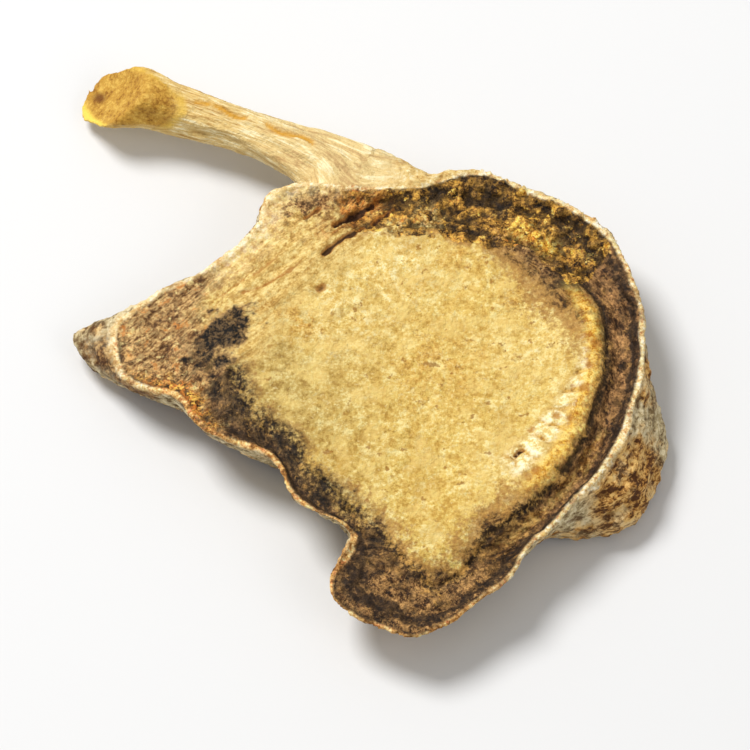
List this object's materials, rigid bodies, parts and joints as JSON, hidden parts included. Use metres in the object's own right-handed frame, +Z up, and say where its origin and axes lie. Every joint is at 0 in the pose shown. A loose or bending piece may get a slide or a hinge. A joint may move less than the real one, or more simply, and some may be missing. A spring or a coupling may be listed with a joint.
{
  "type": "notoginseng root slice",
  "caption": "Dried root slice lying on a cut face: pale domed core, sunken darker ring, raised bark rim, a front lobe and notch, a pointed tail, and the stub of one slender side root.",
  "frame": {"origin": "the root's centre on the lower cut face, where the slice rests on a surface", "axes": "+Z up through the slice's thickness, towards the upper cut face. +Y towards the back edge with the side root, along the slice's longest extent. -X towards the pointed tail. A viewer in front stands at -Y."},
  "size_m": [0.0356, 0.0403, 0.0051],
  "materials": {
    "dried_root": "dry, dull cut root with wrinkled bark"
  },
  "bodies": {
    "root": {"root_slice": "dried_root"}
  },
  "joints": []
}
